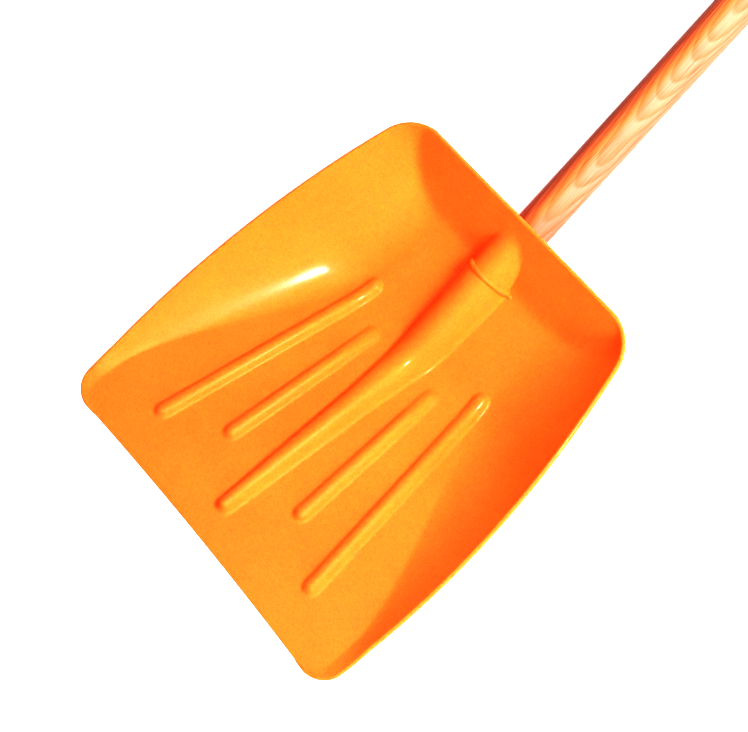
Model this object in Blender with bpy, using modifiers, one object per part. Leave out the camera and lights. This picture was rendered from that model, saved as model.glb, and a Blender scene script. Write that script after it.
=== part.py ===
"""Avalanche shovel, lying on its back as it rests on the ground.

A moulded plastic scoop with a socket and five stiffening ribs holds an ash shaft, which ends in a
D-grip: a moulded yoke, a turned ash bar and the steel rod that is riveted through them.

World frame: +Y runs along the shaft from the scoop to the grip, +Z is up, the ground is z = 0 and
the origin is under the middle of the object's box. Two local frames hang from it:

* the shaft frame has its origin on the shaft's axis under the scoop's rear rim, +Y along the shaft;
* the blade frame has its origin at the middle of the scoop's front edge, +Y along the flat floor
  towards the shaft and +Z out of the scoop's mouth.
"""

import math

import bmesh
import bpy
from mathutils import Vector

# ---------------------------------------------------------------- driving dimensions, in metres
BLADE_LENGTH = 0.3717
FRONT_WIDTH = 0.350
MIDDLE_WIDTH = 0.356
REAR_WIDTH = 0.281
SCOOP_DEPTH = 0.0886  # the rear rim above the flat floor
RIM_RISE_POWER = 1.18  # the side rim rises almost evenly from the front corner
WALL = 0.003
FRONT_CORNER = 0.020
REAR_CORNER = 0.0248
FRONT_SETBACK = 0.003  # the middle of the front edge stands back from its corners

FLOOR_HALF_FRONT = 0.170  # the flat floor narrows from the front edge to the rear wall
FLOOR_HALF_REAR = 0.071
FLOOR_NARROWS_BY = 0.3175  # distance from the front edge where it has its rear width
WALL_CURL_FRONT = 1.12  # exponent of the side wall's rise, front and rear
WALL_CURL_REAR = 2.07
BEND_AT = 0.2485  # the floor turns up here, towards the rear wall
BEND_BLEND = 0.018
REAR_FLOOR_SLOPE = 0.389
REAR_WALL_FOOT = 0.3165  # the rear wall's plane meets the floor's plane here
REAR_WALL_BLEND = 0.007
LIP_WIDTH = 0.004
LIP_STEPS = ((0.0024, 0.0005), (0.0016, -0.0020))  # outward and upward, one row of faces each
BEVEL_LENGTH = 0.022  # the front strip of the floor, which falls towards the edge
BEVEL_DROP = 0.0012

LIFT_ANGLE = math.radians(25.8)  # between the shaft and the flat floor
AXIS_OVER_FLOOR = 0.0552  # the shaft's axis above the floor's plane, under the rear rim

SHAFT_RADIUS = 0.017
SHAFT_TIP_RADIUS = 0.0155
SHAFT_TAPER_LENGTH = 0.115
SHAFT_FRONT = -0.137  # along the shaft, from the rear rim
SHAFT_REAR = 0.632
END_CHAMFER = 0.0015
FIT_GAP = 0.0003

SOCKET_MOUTH = 0.005
SOCKET_WALL = 0.0037
SOCKET_NOSE = 0.020
BEAD_AT = -0.046
BEAD_RADIUS = 0.003
BEAD_SUNK = 0.0004
BEAD_LOWER_HALF = 0.85
SHOE_DEPTH = 0.021  # the shaft's axis above the ground
SHOE_WIDTH = 0.032
SHOE_FRONT = -0.141
SHOE_REAR = -0.004
SHOE_TOP = -0.008  # inside the tube
SHOE_EDGE = 0.002

OUTER_RIB = ((0.104, 0.0465), (0.072, 0.2565))  # x and y of its ends' centres
INNER_RIB = ((0.0487, 0.0805), (0.0395, 0.2275))
RIB_HALF_WIDTH = 0.0095
RIB_HEIGHT = 0.0065
RIB_FOOT = -0.0013  # the raised forms end inside the wall
HOLLOW_SINK = 0.0036  # the same form, lower by a little more than the wall, hollows them from below
SPINE_FRONT = 0.035
SPINE_REAR = 0.2405
SPINE_HALF_FRONT = 0.0105
SPINE_HALF_REAR = 0.0170
SPINE_HEIGHTS = (0.0080, 0.0115)
SPINE_SOLID = 0.045  # its last part isn't hollowed, where it runs into the socket

SCREW_RADIUS = 0.00225
SCREW_HEAD_RADIUS = 0.0043
SCREW_HEAD_HEIGHT = 0.0023
SCREW_LENGTH = 0.030
SCREW_POINT = 0.006
SCREW_SLOT = (0.0012, 0.0011)  # width and depth
SOCKET_SCREWS_AT = {"socket_screw_front": -0.112, "socket_screw_rear": -0.030}

YOKE_MOUTH = 0.566  # along the shaft, from the rear rim
HUB_RADIUS = SHOE_DEPTH
HUB_LENGTH = 0.078
BAR_AT = 0.710
BAR_HALF_LENGTH = 0.046
BAR_END_RADIUS = 0.0135
BAR_MIDDLE_RADIUS = 0.0155
ARM_HALF_THICKNESS = 0.0115
ARM_ROUNDING = 0.004
EYE_RADIUS = 0.0150
EYE_OUTER = 0.060
ROD_RADIUS = 0.003
ROD_HEAD_RADIUS = 0.0055
ROD_HEAD_HEIGHT = 0.0025
WASHER_RADIUS = 0.0085
WASHER_THICKNESS = 0.0015
YOKE_SCREWS_AT = {"yoke_screw_top": (0.590, 1), "yoke_screw_bottom": (0.612, -1)}

COLOURS = {  # base colour, roughness, metallic
    "orange_plastic": ((0.93, 0.22, 0.015), 0.38, 0.0),
    "ash_wood": ((0.70, 0.40, 0.16), 0.55, 0.0),
    "zinc_steel": ((0.55, 0.56, 0.58), 0.35, 1.0),
}


# ---------------------------------------------------------------- scene helpers
def clear_scene():
    for old in list(bpy.data.objects):
        bpy.data.objects.remove(old, do_unlink=True)


def new_collection(name, parent=None):
    made = bpy.data.collections.new(name)
    (parent or bpy.context.scene.collection).children.link(made)
    return made


def material(name):
    colour, roughness, metallic = COLOURS[name]
    made = bpy.data.materials.new(name)
    made.use_nodes = True
    shader = made.node_tree.nodes["Principled BSDF"]
    shader.inputs["Base Color"].default_value = (*colour, 1.0)
    shader.inputs["Roughness"].default_value = roughness
    shader.inputs["Metallic"].default_value = metallic
    made.diffuse_color = (*colour, 1.0)
    return made


def frame(name, parent=None, location=(0, 0, 0), rotation=(0, 0, 0)):
    """An empty that carries a local frame."""
    made = bpy.data.objects.new(name, None)
    made.parent = parent
    made.location = location
    made.rotation_euler = rotation
    PARTS.objects.link(made)
    return made


def put(name, data, parent, look=None, location=(0, 0, 0), rotation=(0, 0, 0)):
    """A part with its material, or a hidden helper shape where no material is named."""
    made = bpy.data.objects.new(name, data)
    made.parent = parent
    made.location = location
    made.rotation_euler = rotation
    if look:
        data.materials.append(LOOKS[look])
        PARTS.objects.link(made)
    else:
        made.hide_render = True
        made.display_type = "WIRE"
        HELPERS.objects.link(made)
    return made


def mesh_of(bm, name):
    made = bpy.data.meshes.new(name)
    bm.normal_update()
    bm.to_mesh(made)
    bm.free()
    return made


def boolean(target, operation, others):
    for other in others:
        step = target.modifiers.new(f"{operation} {other.name}", "BOOLEAN")
        step.operation = operation
        step.object = other
        step.solver = "EXACT"


def smooth(obj, angle=math.radians(35)):
    obj.data.shade_smooth()
    obj.data.set_sharp_from_angle(angle=angle)


# ---------------------------------------------------------------- shapes that repeat
def turned(name, profile, parent, look=None, along="Y", steps=40, **placed):
    """A solid of revolution. The profile is (radius, distance) from one end of the axis to the other,
    and its distance runs along the parent's Y, X or Z."""
    bm = bmesh.new()
    top_first = profile[::-1] if profile[0][1] < profile[-1][1] else profile
    points = [bm.verts.new((radius, 0, distance)) for radius, distance in top_first]
    for first, second in zip(points, points[1:]):
        bm.edges.new((first, second))
    turn = {"Y": (-math.pi / 2, 0, 0), "X": (0, math.pi / 2, 0), "Z": (0, 0, 0)}[along]
    made = put(name, mesh_of(bm, name), parent, look, rotation=turn, **placed)
    spin = made.modifiers.new("turned", "SCREW")
    spin.axis = "Z"
    spin.steps = spin.render_steps = steps
    spin.use_merge_vertices = True
    spin.merge_threshold = 0.00001
    spin.use_smooth_shade = True
    return made


def box(name, low, high, parent, edge=0.0):
    """A hidden box between two corners, with rounded edges where an edge radius is given."""
    low, high = Vector(low), Vector(high)
    bm = bmesh.new()
    bmesh.ops.create_cube(bm, size=1.0)
    for vert in bm.verts:
        vert.co = Vector((low[i] + (high[i] - low[i]) * (vert.co[i] + 0.5) for i in range(3)))
    made = put(name, mesh_of(bm, name), parent)
    if edge:
        rounding = made.modifiers.new("edges", "BEVEL")
        rounding.width = edge
        rounding.segments = 4
        rounding.limit_method = "NONE"
    return made


def ridge(name, front, rear, halves, heights, sink=0.0, foot=-1.0):
    """A rounded ridge lying along the blade's floor: a sphere pulled apart in the middle, with its
    two halves sized for the ridge's two ends. Its underside is cut off level at the foot."""
    start = Vector((*front, floor_height(front[1]) - sink))
    end = Vector((*rear, floor_height(rear[1]) - sink))
    along = (end - start).normalized()
    across = along.cross(Vector((0, 0, 1))).normalized()
    bm = bmesh.new()
    bmesh.ops.create_uvsphere(bm, u_segments=16, v_segments=10, radius=1.0)
    for vert in bm.verts:
        side, up, run = vert.co.x, -vert.co.y, vert.co.z
        at_rear = int(run > 1e-6)
        half = halves[at_rear]
        base = (start, end)[at_rear]
        rise = max(up * heights[at_rear], foot)
        vert.co = base + across * side * half + along * run * half + Vector((0, 0, rise))
    return put(name, mesh_of(bm, name), BLADE_FRAME)


# ---------------------------------------------------------------- the blade's form
def half_width(y):
    """Half the blade's width, on a parabola through its front, middle and rear widths."""
    t = y / BLADE_LENGTH
    front, middle, rear = FRONT_WIDTH / 2, MIDDLE_WIDTH / 2, REAR_WIDTH / 2
    return front + t * (4 * middle - 3 * front - rear) + 2 * t * t * (front + rear - 2 * middle)


def lip_share(y):
    """The rolled lip grows from nothing at the front corner to its full width."""
    return min(max((y - 0.012) / 0.04, 0.0), 1.0)


def wall_edge(y):
    """Half the width between the tops of the side walls, with both corners rounded in plan."""
    edge = half_width(y) - LIP_WIDTH * lip_share(y)
    rear = BLADE_LENGTH - LIP_WIDTH
    for radius, into_corner in ((FRONT_CORNER, FRONT_CORNER - y), (REAR_CORNER, y - (rear - REAR_CORNER))):
        if into_corner > 0:
            edge -= radius - math.sqrt(max(radius**2 - into_corner**2, 0.0))
    return edge


def floor_height(y):
    """The middle of the floor: a falling strip at the front edge, then flat, then turned up."""
    past_bend = y - BEND_AT
    if past_bend > BEND_BLEND:
        rise = past_bend
    elif past_bend > -BEND_BLEND:
        rise = (past_bend + BEND_BLEND) ** 2 / (4 * BEND_BLEND)
    else:
        rise = 0.0
    drop = BEVEL_DROP * max(1 - y / BEVEL_LENGTH, 0.0)
    return REAR_FLOOR_SLOPE * rise - drop


def scoop_height(x, y):
    """Height of the scoop's inner surface over the flat floor's plane."""
    edge = wall_edge(y)
    narrowing = math.cos(math.pi / 2 * min(y / FLOOR_NARROWS_BY, 1.0)) ** 2
    flat = FLOOR_HALF_REAR + (FLOOR_HALF_FRONT - FLOOR_HALF_REAR) * narrowing
    flat = min(flat, edge - 0.012)
    side = min(max((abs(x) - flat) / (edge - flat), 0.0), 1.0)
    share = y / BLADE_LENGTH
    curl = WALL_CURL_FRONT + (WALL_CURL_REAR - WALL_CURL_FRONT) * share
    floor = floor_height(y)
    rim = SCOOP_DEPTH * share**RIM_RISE_POWER
    trough = floor + (rim - floor) * side**curl
    rear = BLADE_LENGTH - LIP_WIDTH
    rear_wall = SCOOP_DEPTH * (y - REAR_WALL_FOOT) / (rear - REAR_WALL_FOOT)
    blend = REAR_WALL_BLEND * math.sqrt(1 - side)
    return (trough + rear_wall + math.sqrt((trough - rear_wall) ** 2 + blend**2)) / 2


def row_positions():
    """Distances of the grid's rows from the front edge, closer together where the form turns."""
    rear = BLADE_LENGTH - LIP_WIDTH
    corner = [FRONT_CORNER * (1 - math.cos(math.radians(a))) for a in (0, 22, 44, 66, 90)]
    middle = [0.045, 0.072, 0.101, 0.132, 0.163, 0.194, 0.217, 0.231, 0.243, 0.254, 0.266, 0.285, 0.303]
    middle += [0.314, 0.322, 0.333]
    steps = (0, 14, 28, 42, 54, 66, 78, 90)
    rear_rows = [rear - REAR_CORNER + REAR_CORNER * math.sin(math.radians(a)) for a in steps]
    return corner + middle + rear_rows


def column_positions():
    """Shares of the half width for one side's columns, closer together on the curved wall."""
    return [0.0, 0.16, 0.32, 0.46, 0.56, 0.65, 0.73, 0.80, 0.86, 0.91, 0.955, 1.0]


def blade_surface():
    """The scoop's inner surface: a grid draped over the form, with the lip drawn out of its edge."""
    rows, right = row_positions(), column_positions()
    columns = [-share for share in reversed(right[1:])] + right
    bm = bmesh.new()
    bmesh.ops.create_grid(bm, x_segments=len(columns) - 1, y_segments=len(rows) - 1, size=1.0)
    bm.verts.ensure_lookup_table()
    grid_x = sorted({round(vert.co.x, 5) for vert in bm.verts})
    grid_y = sorted({round(vert.co.y, 5) for vert in bm.verts})
    places = [(grid_x.index(round(v.co.x, 5)), grid_y.index(round(v.co.y, 5))) for v in bm.verts]
    for vert, (column, row) in zip(bm.verts, places):
        share, y = columns[column], rows[row]
        x = share * wall_edge(y)
        setback = FRONT_SETBACK * (1 - share**2) * max(1 - y / 0.1, 0.0)
        vert.co = (x, y + setback, scoop_height(x, y))
    last_row, last_column = len(rows) - 1, len(columns) - 1
    on_rim = set()
    for vertex, (column, row) in zip(bm.verts, places):
        if column in (0, last_column) or row == last_row:
            on_rim.add(vertex)
    draw_out_lip(bm, on_rim)
    return bm


def draw_out_lip(bm, rim):
    """Draws the rim's edges outwards in plan, one row of faces for each of the lip's steps."""
    edges = [e for e in bm.edges if e.is_boundary and all(v in rim for v in e.verts)]
    for outward_step, upward_step in LIP_STEPS:
        outward = {}
        for edge in edges:
            face = edge.link_faces[0]
            run = (edge.verts[1].co - edge.verts[0].co).to_2d()
            normal = Vector((run.y, -run.x)).normalized()
            away = (edge.verts[0].co - face.calc_center_median()).to_2d()
            normal = normal if normal.dot(away) > 0 else -normal
            for vert in edge.verts:
                outward[vert] = outward.get(vert, Vector((0, 0))) + normal
        before = {vert: vert.co.copy() for vert in outward}
        made = bmesh.ops.extrude_edge_only(bm, edges=edges)["geom"]
        edges = [e for e in made if isinstance(e, bmesh.types.BMEdge) and e.is_boundary]
        new_verts = {v for v in made if isinstance(v, bmesh.types.BMVert)}
        edges = [e for e in edges if all(v in new_verts for v in e.verts)]
        starts = {tuple(round(c, 7) for c in co): outward[vert] for vert, co in before.items()}
        for vert in new_verts:
            direction = starts[tuple(round(c, 7) for c in vert.co)].normalized()
            share = max(lip_share(vert.co.y), 0.08)
            vert.co += Vector((*(direction * outward_step * share), upward_step * share))


# ---------------------------------------------------------------- the parts
def socket_profile(extra, front, mouth):
    """Radius and distance along a bore or tube that follows the shaft's tapered end."""
    taper_end = SHAFT_FRONT + SHAFT_TAPER_LENGTH
    return [
        (SHAFT_TIP_RADIUS + extra, front),
        (SHAFT_RADIUS + extra, taper_end),
        (SHAFT_RADIUS + extra, mouth),
    ]


def socket_bead():
    """The bead that stands out of the tube's upper half. Below, it draws back into the tube's wall."""
    middle = SHAFT_RADIUS + SOCKET_WALL - BEAD_SUNK
    segments, around = 36, 8
    bm = bmesh.new()
    rings = []
    for i in range(segments):
        turn = 2 * math.pi * i / segments
        drawn_back = BEAD_LOWER_HALF if math.sin(turn) < -0.01 else 1.0
        ring = []
        for j in range(around):
            bend = 2 * math.pi * (j + 0.5) / around
            radius = middle + BEAD_RADIUS * math.cos(bend)
            along = BEAD_AT + BEAD_RADIUS * math.sin(bend)
            ring.append(bm.verts.new((radius * math.cos(turn), along, radius * math.sin(turn) * drawn_back)))
        rings.append(ring)
    for ring, after in zip(rings, rings[1:] + rings[:1]):
        for j in range(around):
            k = (j + 1) % around
            bm.faces.new((ring[j], ring[k], after[k], after[j]))
    bmesh.ops.recalc_face_normals(bm, faces=bm.faces)
    return put("socket_bead", mesh_of(bm, "socket_bead"), SHAFT_FRAME)


def socket_shapes():
    """The tube that holds the shaft, the bead around it and the flat shoe under it."""
    nose_radius = SHAFT_TIP_RADIUS + SOCKET_WALL
    nose = []
    for angle in (0, 18, 36, 54, 72):
        turn = math.radians(angle)
        nose.append((nose_radius * math.sin(turn), SHAFT_FRONT - SOCKET_NOSE * math.cos(turn)))
    body = socket_profile(SOCKET_WALL, SHAFT_FRONT, SOCKET_MOUTH)
    tube = turned("socket_tube", nose + body + [(0.0, SOCKET_MOUTH)], SHAFT_FRAME)
    bead = socket_bead()
    low = (-SHOE_WIDTH / 2, SHOE_FRONT, -SHOE_DEPTH)
    high = (SHOE_WIDTH / 2, SHOE_REAR, SHOE_TOP)
    shoe = box("socket_shoe", low, high, SHAFT_FRAME, edge=SHOE_EDGE)
    return [tube, bead, shoe]


def rib_shapes():
    """The ribs' raised forms, and the smaller forms that hollow them from below."""
    raised, hollows = [], []
    for side, label in ((-1, "left"), (1, "right")):
        for kind, ends in (("outer", OUTER_RIB), ("inner", INNER_RIB)):
            front, rear = [(side * x, y) for x, y in ends]
            heights = (RIB_HEIGHT, RIB_HEIGHT)
            outside = (RIB_HALF_WIDTH, RIB_HALF_WIDTH)
            inside = (RIB_HALF_WIDTH - WALL, RIB_HALF_WIDTH - WALL)
            raised.append(ridge(f"{kind}_rib_{label}", front, rear, outside, heights, foot=RIB_FOOT))
            hollow_name = f"{kind}_rib_hollow_{label}"
            hollows.append(ridge(hollow_name, front, rear, inside, heights, sink=HOLLOW_SINK))
    front = (0, SPINE_FRONT)
    outside = (SPINE_HALF_FRONT, SPINE_HALF_REAR)
    raised.append(ridge("spine", front, (0, SPINE_REAR), outside, SPINE_HEIGHTS, foot=RIB_FOOT))
    inside = (SPINE_HALF_FRONT - WALL, SPINE_HALF_REAR - 2 * WALL)
    hollow_end = (0, SPINE_REAR - SPINE_SOLID)
    hollows.append(ridge("spine_hollow", front, hollow_end, inside, SPINE_HEIGHTS, sink=HOLLOW_SINK))
    return raised, hollows


def make_blade():
    blade = put("blade", mesh_of(blade_surface(), "blade"), BLADE_FRAME, "orange_plastic")
    smooth(blade)
    shell = blade.modifiers.new("wall", "SOLIDIFY")
    shell.thickness = WALL
    shell.offset = -1.0
    shell.use_even_offset = True
    raised, hollows = rib_shapes()
    bore = turned(
        "socket_bore",
        [(0.0, SHAFT_FRONT - FIT_GAP)]
        + socket_profile(FIT_GAP, SHAFT_FRONT - FIT_GAP, SOCKET_MOUTH + 0.03)
        + [(0.0, SOCKET_MOUTH + 0.03)],
        SHAFT_FRAME,
    )
    boolean(blade, "UNION", socket_shapes() + raised)
    boolean(blade, "DIFFERENCE", [bore] + hollows)
    screw_holes = [screw_hole(f"{name}_hole", at, -1) for name, at in SOCKET_SCREWS_AT.items()]
    boolean(blade, "DIFFERENCE", screw_holes)
    return screw_holes


def screw_profile(gap=0.0):
    """Radius and height of a countersunk wood screw from its point, at the bottom, to its head."""
    head = SCREW_HEAD_HEIGHT + gap
    return [
        (0.0, head),
        (SCREW_HEAD_RADIUS + gap, head),
        (SCREW_HEAD_RADIUS + gap, SCREW_HEAD_HEIGHT - 0.0003),
        (SCREW_RADIUS + gap, 0.0),
        (SCREW_RADIUS + gap, -SCREW_LENGTH + SCREW_POINT),
        (0.0, -SCREW_LENGTH - gap),
    ]


def seat_screw(shape, at, side):
    """Places a screw, its hole or its slot, driven in from above or below and turned home by chance."""
    shape.location = (0, at, side * (SHOE_DEPTH - SCREW_HEAD_HEIGHT - FIT_GAP))
    shape.rotation_euler = (0 if side > 0 else math.pi, 0, 17 * at)
    return shape


def screw_hole(name, at, side):
    """The countersunk hole of one screw through the plastic and into the wood."""
    above = [(0.0, 0.02), (SCREW_HEAD_RADIUS + FIT_GAP, 0.02)]
    profile = above + screw_profile(gap=FIT_GAP)[2:]
    return seat_screw(turned(name, profile, SHAFT_FRAME, along="Z", steps=24), at, side)


def make_screw(name, at, side):
    screw = turned(name, screw_profile(), SHAFT_FRAME, "zinc_steel", along="Z", steps=24)
    width, depth = SCREW_SLOT
    top = SCREW_HEAD_HEIGHT
    low = (-SCREW_HEAD_RADIUS * 2, -width / 2, top - depth)
    high = (SCREW_HEAD_RADIUS * 2, width / 2, top + depth)
    slot = box(f"{name}_slot", low, high, SHAFT_FRAME)
    boolean(seat_screw(screw, at, side), "DIFFERENCE", [seat_screw(slot, at, side)])


def make_shaft(holes):
    profile = [
        (0.0, SHAFT_FRONT),
        (SHAFT_TIP_RADIUS - END_CHAMFER, SHAFT_FRONT),
        (SHAFT_TIP_RADIUS, SHAFT_FRONT + END_CHAMFER),
        (SHAFT_RADIUS, SHAFT_FRONT + SHAFT_TAPER_LENGTH),
        (SHAFT_RADIUS, SHAFT_REAR - END_CHAMFER),
        (SHAFT_RADIUS - END_CHAMFER, SHAFT_REAR),
        (0.0, SHAFT_REAR),
    ]
    shaft = turned("shaft", profile, SHAFT_FRAME, "ash_wood")
    boolean(shaft, "DIFFERENCE", holes)


def yoke_outline():
    """The outline of the yoke's flat faces, inside its rounded edges, with y from the yoke's mouth:
    from the hub round the right arm to the crotch, and back round the left one."""
    bar_y = BAR_AT - YOKE_MOUTH
    right = [
        (0.0140, 0.048),
        (0.0160, 0.070),
        (0.0355, 0.097),
        (0.0510, 0.118),
        (0.0550, bar_y - 0.006),
        (0.0530, bar_y + 0.006),
        (0.0510, bar_y - 0.004),
        (0.0490, 0.126),
        (0.0380, 0.106),
        (0.0190, 0.0905),
        (0.0000, 0.0860),
    ]
    return right + [(-x, y) for x, y in reversed(right[:-1])]


def yoke_plate():
    """The two arms of the yoke as a mesh: a filled flat curve with rounded edges."""
    curve = bpy.data.curves.new("yoke_plate", "CURVE")
    curve.dimensions = "2D"
    curve.fill_mode = "BOTH"
    curve.extrude = ARM_HALF_THICKNESS - ARM_ROUNDING
    curve.bevel_depth = ARM_ROUNDING
    curve.bevel_resolution = 1
    curve.resolution_u = 3
    points = yoke_outline()
    spline = curve.splines.new("BEZIER")
    spline.bezier_points.add(len(points) - 1)
    for point, (x, y) in zip(spline.bezier_points, points):
        point.co = (x, y, 0)
        point.handle_left_type = point.handle_right_type = "AUTO"
    spline.use_cyclic_u = True
    drawn = bpy.data.objects.new("yoke_drawn", curve)
    HELPERS.objects.link(drawn)
    bpy.context.view_layer.update()
    graph = bpy.context.evaluated_depsgraph_get()
    mesh = bpy.data.meshes.new_from_object(drawn.evaluated_get(graph))
    bpy.data.objects.remove(drawn)
    bm = bmesh.new()
    bm.from_mesh(mesh)
    bmesh.ops.remove_doubles(bm, verts=bm.verts, dist=0.00001)
    bmesh.ops.recalc_face_normals(bm, faces=bm.faces)
    return mesh_of(bm, "yoke_plate")


def make_grip():
    """The yoke on the shaft's end, the bar between its arms, and the rod riveted through them."""
    holes = []
    for name, (at, side) in YOKE_SCREWS_AT.items():
        holes.append(screw_hole(f"{name}_hole", at, side))
        make_screw(name, at, side)

    yoke = put("grip_yoke", yoke_plate(), SHAFT_FRAME, "orange_plastic", location=(0, YOKE_MOUTH, 0))
    smooth(yoke)
    hub_end = YOKE_MOUTH + HUB_LENGTH
    hub_profile = [
        (0.0, YOKE_MOUTH),
        (HUB_RADIUS - 0.0015, YOKE_MOUTH),
        (HUB_RADIUS, YOKE_MOUTH + 0.0015),
        (HUB_RADIUS, hub_end - 0.016),
        (HUB_RADIUS * 0.86, hub_end - 0.004),
        (HUB_RADIUS * 0.55, hub_end + 0.004),
        (0.0, hub_end + 0.007),
    ]
    hub = turned("yoke_hub", hub_profile, SHAFT_FRAME)
    bore_radius = SHAFT_RADIUS + FIT_GAP
    bore_profile = [(0.0, YOKE_MOUTH - 0.02), (bore_radius, YOKE_MOUTH - 0.02)]
    bore_profile += [(bore_radius, SHAFT_REAR + FIT_GAP), (0.0, SHAFT_REAR + FIT_GAP)]
    bore = turned("yoke_bore", bore_profile, SHAFT_FRAME)
    inner = BAR_HALF_LENGTH + FIT_GAP
    eyes = []
    for side, label in ((-1, "left"), (1, "right")):
        ends = sorted((side * inner, side * EYE_OUTER))
        profile = [(0.0, ends[0]), (EYE_RADIUS, ends[0]), (EYE_RADIUS, ends[1]), (0.0, ends[1])]
        place = (0, BAR_AT, 0)
        eyes.append(turned(f"yoke_eye_{label}", profile, SHAFT_FRAME, along="X", steps=32, location=place))
    hole_radius = ROD_RADIUS + FIT_GAP
    past_eyes = EYE_OUTER + 0.02
    hole_profile = [(0.0, -past_eyes), (hole_radius, -past_eyes), (hole_radius, past_eyes), (0.0, past_eyes)]
    rod_hole = turned("rod_hole", hole_profile, SHAFT_FRAME, along="X", steps=24, location=(0, BAR_AT, 0))
    boolean(yoke, "UNION", [hub] + eyes)
    boolean(yoke, "DIFFERENCE", holes + [bore, rod_hole])

    make_bar(rod_hole)
    make_rod()
    return holes


def make_bar(rod_hole):
    """The hand bar: a barrel, fullest in the middle, with rounded ends."""
    ends = BAR_HALF_LENGTH
    profile = [(0.0, -ends), (BAR_END_RADIUS - 0.001, -ends), (BAR_END_RADIUS, -ends + 0.001)]
    for share in (-0.6, -0.2, 0.2, 0.6):
        swell = (BAR_MIDDLE_RADIUS - BAR_END_RADIUS) * (1 - share**2)
        profile.append((BAR_END_RADIUS + swell, share * ends))
    profile += [(BAR_END_RADIUS, ends - 0.001), (BAR_END_RADIUS - 0.001, ends), (0.0, ends)]
    bar = turned("grip_bar", profile, SHAFT_FRAME, "ash_wood", along="X", steps=36, location=(0, BAR_AT, 0))
    boolean(bar, "DIFFERENCE", [rod_hole])


def make_rod():
    """The steel rod with its two riveted heads, and a washer under each head."""
    seat = EYE_OUTER + 2 * FIT_GAP + WASHER_THICKNESS
    half = [
        (ROD_RADIUS, seat),
        (ROD_HEAD_RADIUS, seat),
        (ROD_HEAD_RADIUS * 0.92, seat + ROD_HEAD_HEIGHT * 0.4),
        (ROD_HEAD_RADIUS * 0.6, seat + ROD_HEAD_HEIGHT * 0.85),
        (0.0, seat + ROD_HEAD_HEIGHT),
    ]
    profile = [(radius, -at) for radius, at in reversed(half)] + half
    turned("grip_rod", profile, SHAFT_FRAME, "zinc_steel", along="X", steps=24, location=(0, BAR_AT, 0))
    for side, label in ((-1, "left"), (1, "right")):
        inner = side * (EYE_OUTER + FIT_GAP)
        near, far = sorted((inner, inner + side * WASHER_THICKNESS))
        hole = ROD_RADIUS + FIT_GAP
        ring = [(hole, near), (WASHER_RADIUS, near), (WASHER_RADIUS, far), (hole, far), (hole, near)]
        washer_of(f"rod_washer_{label}", ring)


def washer_of(name, ring):
    """A flat washer: its section turned about the rod."""
    bm = bmesh.new()
    points = [bm.verts.new((radius, 0, distance)) for radius, distance in reversed(ring[:-1])]
    for i, point in enumerate(points):
        bm.edges.new((point, points[(i + 1) % len(points)]))
    turn = (0, math.pi / 2, 0)
    made = put(name, mesh_of(bm, name), SHAFT_FRAME, "zinc_steel", location=(0, BAR_AT, 0), rotation=turn)
    spin = made.modifiers.new("turned", "SCREW")
    spin.axis = "Z"
    spin.steps = spin.render_steps = 32
    spin.use_merge_vertices = True
    spin.merge_threshold = 0.00001


def rest_on_ground():
    """Moves the whole shovel so that the middle of its box is over the origin, on the ground."""
    bpy.context.view_layer.update()
    graph = bpy.context.evaluated_depsgraph_get()
    reach = []
    for part in PARTS.objects:
        if part.type == "MESH":
            shown = part.evaluated_get(graph)
            reach += [(shown.matrix_world @ vert.co).y for vert in shown.data.vertices]
    SHAFT_FRAME.location.y -= (min(reach) + max(reach)) / 2


clear_scene()
PARTS = new_collection("avalanche_shovel")
HELPERS = new_collection("helper_shapes")
LOOKS = {name: material(name) for name in COLOURS}
SHAFT_FRAME = frame("shaft_frame", location=(0, 0, SHOE_DEPTH))
COS_LIFT, SIN_LIFT = math.cos(LIFT_ANGLE), math.sin(LIFT_ANGLE)
FRONT_EDGE = (
    0,
    -BLADE_LENGTH * COS_LIFT - AXIS_OVER_FLOOR * SIN_LIFT,
    BLADE_LENGTH * SIN_LIFT - AXIS_OVER_FLOOR * COS_LIFT,
)
BLADE_FRAME = frame("blade_frame", SHAFT_FRAME, FRONT_EDGE, (-LIFT_ANGLE, 0, 0))

SOCKET_SCREW_HOLES = make_blade()
YOKE_SCREW_HOLES = make_grip()
make_shaft(SOCKET_SCREW_HOLES + YOKE_SCREW_HOLES)
for screw_name, screw_at in SOCKET_SCREWS_AT.items():
    make_screw(screw_name, screw_at, -1)
rest_on_ground()
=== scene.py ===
"""The looks of the avalanche shovel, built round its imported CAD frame.

Every piece is made again with fine surfaces on the CAD's own places and sizes. The scoop's places
are given in the blade frame: its origin is the middle of the scoop's front edge, +Y runs along the
flat floor towards the shaft and +Z out of the scoop's mouth. The other pieces' places are given in
the shaft frame, which lies along the row's +Y with its origin under the scoop's rear rim.
"""

import math

import bmesh
import bpy
import numpy as np
from mathutils import Euler, Matrix, Vector


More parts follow.
